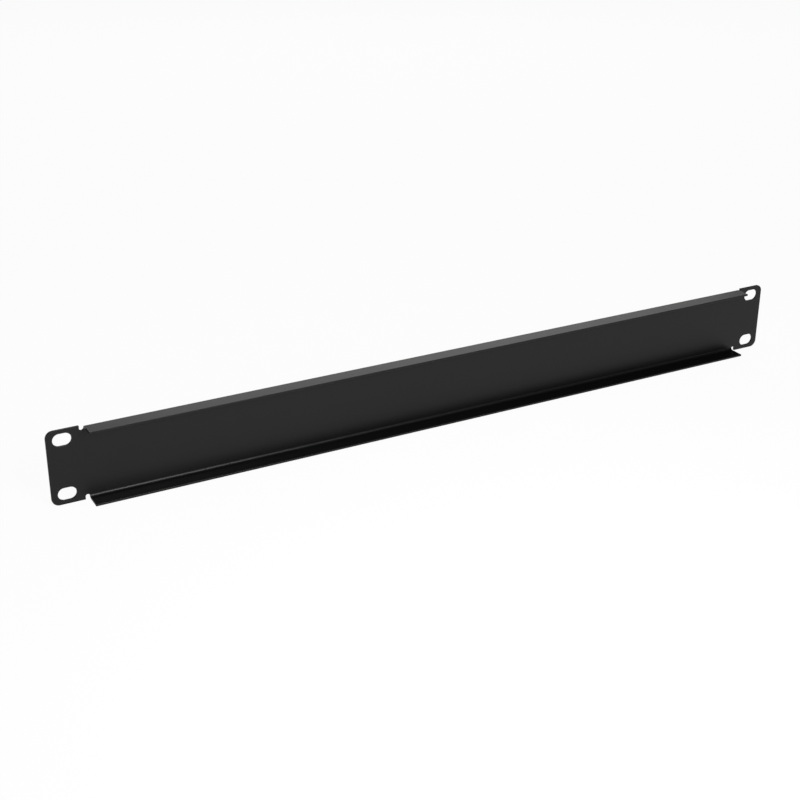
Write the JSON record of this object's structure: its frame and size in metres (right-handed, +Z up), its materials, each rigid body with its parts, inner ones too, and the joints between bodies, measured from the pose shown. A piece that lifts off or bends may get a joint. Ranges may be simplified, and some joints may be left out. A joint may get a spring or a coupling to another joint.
{
  "type": "rack blanking panel",
  "caption": "Flat black cover for an empty rack unit, folded from sheet steel with a rear flange along each long edge and slotted ears for rack screws.",
  "frame": {"origin": "centre of the four slots, on the rear face of the ears, where the panel seats on the rack's rails", "axes": "+X along the panel's width, +Z up, and the front face looks along -Y, with the flanges reaching back along +Y"},
  "size_m": [0.4826, 0.0115, 0.0436],
  "materials": {
    "black_powder_coat": "satin black powder coat with a fine texture"
  },
  "bodies": {
    "root": {"panel": "black_powder_coat"}
  },
  "joints": []
}
